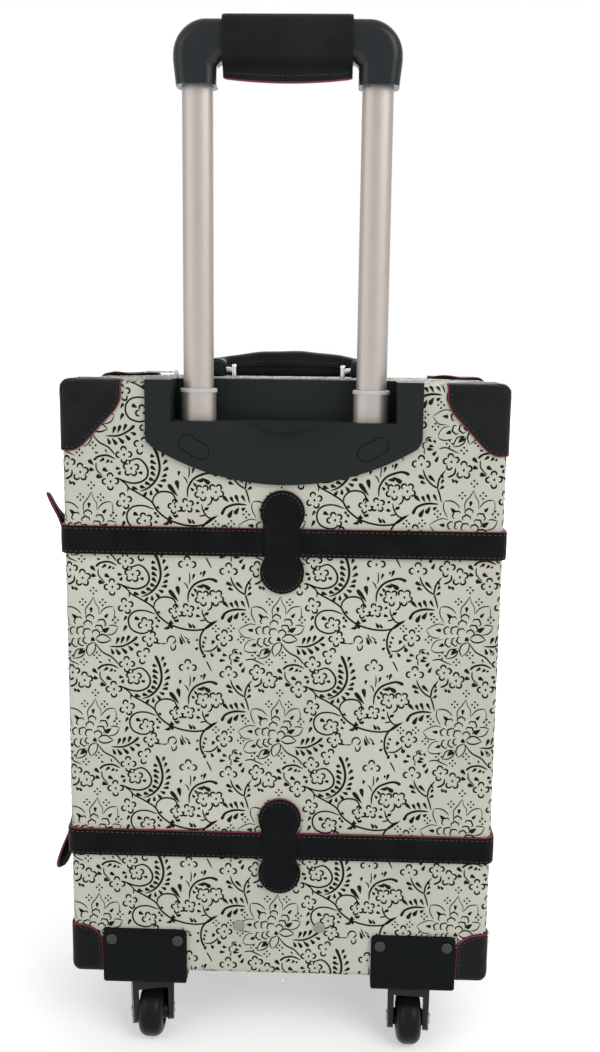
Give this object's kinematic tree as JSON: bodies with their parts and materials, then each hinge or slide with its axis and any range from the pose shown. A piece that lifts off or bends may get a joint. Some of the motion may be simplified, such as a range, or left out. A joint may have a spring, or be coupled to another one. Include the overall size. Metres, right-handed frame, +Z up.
{
  "type": "rolling suitcase",
  "caption": "Cabin suitcase, a printed clamshell case with belts, leather corners, swivel casters, a carry handle and a latching telescopic pull handle.",
  "frame": {"origin": "on the floor under the middle of the case", "axes": "+Z up, -Y out of the back panel that carries the telescopic handle, +X to the right as seen from behind"},
  "size_m": [0.3695, 0.2099, 0.8414],
  "materials": {
    "printed_cover": "ivory coated cloth with a black line print, on board",
    "black_leather": "matte black with dark red cut edges",
    "zip_cloth": "woven",
    "zip_metal": "satin",
    "bright_metal": "polished",
    "black_moulding": "fine satin texture",
    "glossy_moulding": "smooth",
    "tube_metal": "satin champagne",
    "grey_moulding": "satin",
    "dull_steel": "dull zinc",
    "wheel_tread": "smooth",
    "print_ink": "flat ink"
  },
  "bodies": {
    "case": {"back_shell": "printed_cover", "front_lid": "printed_cover", "top_corner_patches": "black_leather", "bottom_corner_patches": "black_leather", "upper_belt": "black_leather", "lower_belt": "black_leather", "upper_belt_tab": "black_leather", "lower_belt_tab": "black_leather", "belt_keepers": "black_leather", "zip_tapes": "zip_cloth", "lid_hinge": "zip_cloth", "zip_teeth": "zip_metal", "zip_sliders": "bright_metal", "belt_buckles": "bright_metal", "buckle_prongs": "bright_metal", "carry_handle_posts": "bright_metal", "side_studs": "bright_metal", "handle_bezel": "black_moulding", "bezel_screw_caps": "black_moulding", "tube_foot_bracket": "black_moulding", "caster_bracket_back_left": "black_moulding", "caster_bracket_back_right": "black_moulding", "caster_bracket_front_left": "black_moulding", "caster_bracket_front_right": "black_moulding", "outer_tube_left": "tube_metal", "outer_tube_right": "tube_metal", "panel_rivets": "dull_steel", "caster_rivets": "dull_steel", "kingpins": "dull_steel", "floral_print": "print_ink"},
    "middle_stage": {"middle_tube_left": "tube_metal", "middle_tube_right": "tube_metal", "tube_collars": "grey_moulding", "middle_guides": "grey_moulding"},
    "grip": {"inner_tube_left": "tube_metal", "inner_tube_right": "tube_metal", "inner_guides": "grey_moulding", "grip_back_half": "glossy_moulding", "grip_front_half": "glossy_moulding", "grip_wrap": "black_leather"},
    "release": {"release_button": "glossy_moulding", "push_rods": "dull_steel"},
    "latch_left_body": {"latch_left": "dull_steel"},
    "latch_right_body": {"latch_right": "dull_steel"},
    "carry_handle_body": {"carry_handle": "black_leather"},
    "zip_pull_left_body": {"zip_pull_left": "bright_metal"},
    "zip_pull_right_body": {"zip_pull_right": "bright_metal"},
    "fork_back_left": {"caster_fork_back_left": "glossy_moulding", "caster_axle_back_left": "dull_steel"},
    "wheel_back_left": {"caster_wheel_back_left": "wheel_tread"},
    "fork_back_right": {"caster_fork_back_right": "glossy_moulding", "caster_axle_back_right": "dull_steel"},
    "wheel_back_right": {"caster_wheel_back_right": "wheel_tread"},
    "fork_front_left": {"caster_fork_front_left": "glossy_moulding", "caster_axle_front_left": "dull_steel"},
    "wheel_front_left": {"caster_wheel_front_left": "wheel_tread"},
    "fork_front_right": {"caster_fork_front_right": "glossy_moulding", "caster_axle_front_right": "dull_steel"},
    "wheel_front_right": {"caster_wheel_front_right": "wheel_tread"}
  },
  "joints": [
    {"name": "middle_slide", "type": "slide", "parent": "case", "child": "middle_stage", "axis": [0, 0, 1], "range_m": [-0.0217, 0.195]},
    {"name": "grip_slide", "type": "slide", "parent": "middle_stage", "child": "grip", "axis": [0, 0, 1], "range_m": [-0.2265, 0]},
    {"name": "release_press", "type": "slide", "parent": "grip", "child": "release", "axis": [0, 0, -1], "range_m": [0, 0.003], "stiffness_N_per_m": 900, "springref_m": -0.002},
    {"name": "latch_left_slide", "type": "slide", "parent": "grip", "child": "latch_left_body", "axis": [1, 0, 0], "range_m": [0, 0.003]},
    {"name": "latch_right_slide", "type": "slide", "parent": "grip", "child": "latch_right_body", "axis": [-1, 0, 0], "range_m": [0, 0.003]},
    {"name": "carry_handle_swing", "type": "hinge", "parent": "case", "child": "carry_handle_body", "pos_m": [0, -0.02, 0.5765], "axis": [1, 0, 0], "range_deg": [0, 120]},
    {"name": "zip_pull_left_swing", "type": "hinge", "parent": "case", "child": "zip_pull_left_body", "pos_m": [-0.1023, 0.03, 0.5726], "axis": [0, 1, 0], "range_deg": [0, 90]},
    {"name": "zip_pull_right_swing", "type": "hinge", "parent": "case", "child": "zip_pull_right_body", "pos_m": [-0.0897, 0.03, 0.5726], "axis": [0, -1, 0], "range_deg": [0, 90]},
    {"name": "swivel_back_left", "type": "hinge", "parent": "case", "child": "fork_back_left", "pos_m": [-0.1135, -0.07, 0.05], "axis": [0, 0, 1], "continuous": true},
    {"name": "roll_back_left", "type": "hinge", "parent": "fork_back_left", "child": "wheel_back_left", "pos_m": [-0.11036, -0.08261, 0.022], "axis": [0.9703, 0.2419, 0], "continuous": true},
    {"name": "swivel_back_right", "type": "hinge", "parent": "case", "child": "fork_back_right", "pos_m": [0.1135, -0.07, 0.05], "axis": [0, 0, 1], "continuous": true},
    {"name": "roll_back_right", "type": "hinge", "parent": "fork_back_right", "child": "wheel_back_right", "pos_m": [0.11237, -0.08295, 0.022], "axis": [0.9962, -0.0872, 0], "continuous": true},
    {"name": "swivel_front_left", "type": "hinge", "parent": "case", "child": "fork_front_left", "pos_m": [-0.1135, 0.07, 0.05], "axis": [0, 0, 1], "continuous": true},
    {"name": "roll_front_left", "type": "hinge", "parent": "fork_front_left", "child": "wheel_front_left", "pos_m": [-0.11147, 0.05716, 0.022], "axis": [0.9877, 0.1564, 0], "continuous": true},
    {"name": "swivel_front_right", "type": "hinge", "parent": "case", "child": "fork_front_right", "pos_m": [0.1135, 0.07, 0.05], "axis": [0, 0, 1], "continuous": true},
    {"name": "roll_front_right", "type": "hinge", "parent": "fork_front_right", "child": "wheel_front_right", "pos_m": [0.1108, 0.05728, 0.022], "axis": [0.9781, -0.2079, 0], "continuous": true}
  ],
  "couplings": [
    {"joint": "latch_left_slide", "follows": "release_press", "ratio": 1},
    {"joint": "latch_right_slide", "follows": "release_press", "ratio": 1}
  ]
}
